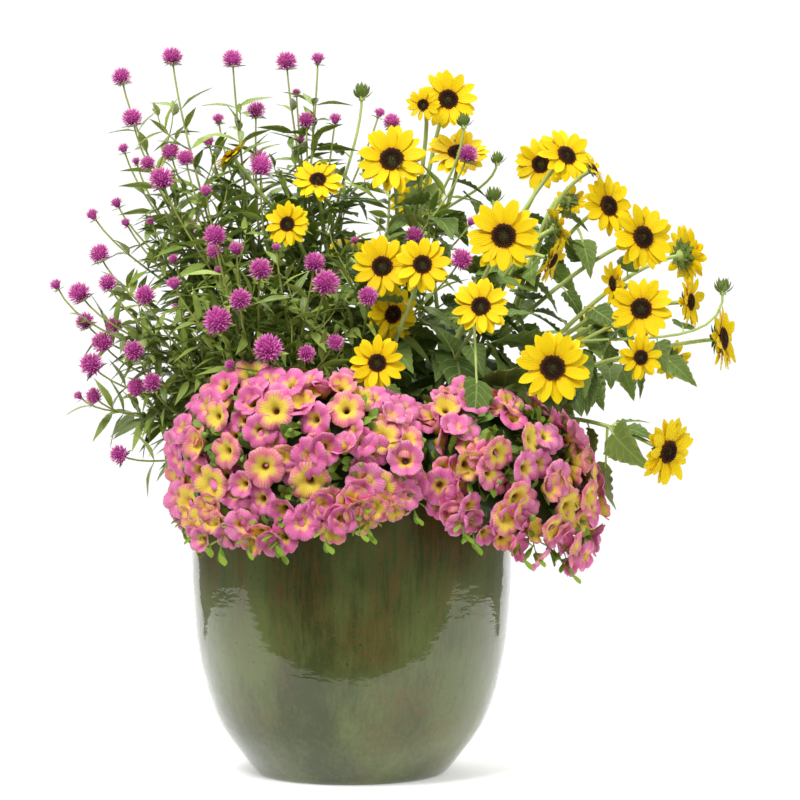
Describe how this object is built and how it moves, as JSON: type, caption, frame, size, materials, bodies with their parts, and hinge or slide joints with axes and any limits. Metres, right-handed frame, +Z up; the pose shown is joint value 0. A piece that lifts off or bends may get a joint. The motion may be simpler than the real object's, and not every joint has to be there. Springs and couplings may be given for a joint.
{
  "type": "potted globe amaranth mixed planter",
  "caption": "Round glazed pot of globe amaranth with branching sunflowers behind and to the right, and calibrachoa spilling over the front rim.",
  "frame": {"origin": "centre of the pot's foot, at the level of the floor", "axes": "+Z up along the pot's axis; -Y is the front of the planting, where the calibrachoa spills over the rim"},
  "size_m": [0.7754, 0.5311, 0.8176],
  "materials": {
    "glaze": "glossy olive green reactive glaze with rust brown runs",
    "soil": "dark crumbly potting mix",
    "amaranth": "green leafy stems with magenta bract balls",
    "sunflower_stem": "hairy green stems and toothed leaves",
    "sunflower_head": "bright yellow rays round a dark brown disc",
    "calibrachoa": "soft pink funnel flowers with yellow stars over small green leaves"
  },
  "bodies": {
    "root": {"pot": "glaze", "soil": "soil", "calibrachoa_left": "calibrachoa", "calibrachoa_right": "calibrachoa", "amaranth_far_left_low": "amaranth", "amaranth_left": "amaranth", "amaranth_left_upper": "amaranth", "amaranth_upper_left": "amaranth", "amaranth_cluster": "amaranth", "amaranth_tall_mid": "amaranth", "amaranth_tall_right": "amaranth", "amaranth_front": "amaranth", "amaranth_front_right": "amaranth", "amaranth_among": "amaranth", "amaranth_back": "amaranth", "amaranth_back_left": "amaranth", "sunflower_front_left": "sunflower_stem", "sunflower_front_left_head_1": "sunflower_head", "sunflower_front_left_head_2": "sunflower_head", "sunflower_front_left_head_3": "sunflower_head", "sunflower_front_left_head_4": "sunflower_head", "sunflower_back_left": "sunflower_stem", "sunflower_back_left_head_1": "sunflower_head", "sunflower_back_left_head_2": "sunflower_head", "sunflower_back_left_head_3": "sunflower_head", "sunflower_top": "sunflower_stem", "sunflower_top_head_1": "sunflower_head", "sunflower_top_head_2": "sunflower_head", "sunflower_top_head_3": "sunflower_head", "sunflower_top_head_4": "sunflower_head", "sunflower_middle": "sunflower_stem", "sunflower_middle_head_1": "sunflower_head", "sunflower_middle_head_2": "sunflower_head", "sunflower_middle_head_3": "sunflower_head", "sunflower_middle_head_4": "sunflower_head", "sunflower_upper_right": "sunflower_stem", "sunflower_upper_right_head_1": "sunflower_head", "sunflower_upper_right_head_2": "sunflower_head", "sunflower_upper_right_head_3": "sunflower_head", "sunflower_upper_right_head_4": "sunflower_head", "sunflower_upper_right_head_5": "sunflower_head", "sunflower_upper_right_head_6": "sunflower_head", "sunflower_right": "sunflower_stem", "sunflower_right_head_1": "sunflower_head", "sunflower_right_head_2": "sunflower_head", "sunflower_right_head_3": "sunflower_head", "sunflower_right_head_4": "sunflower_head", "sunflower_right_head_5": "sunflower_head", "sunflower_lower_right": "sunflower_stem", "sunflower_lower_right_head_1": "sunflower_head", "sunflower_lower_right_head_2": "sunflower_head", "sunflower_lower_right_head_3": "sunflower_head", "sunflower_lower_right_head_4": "sunflower_head", "sunflower_back": "sunflower_stem", "sunflower_back_head_1": "sunflower_head", "sunflower_back_head_2": "sunflower_head", "sunflower_back_head_3": "sunflower_head", "sunflower_back_head_4": "sunflower_head"}
  },
  "joints": []
}
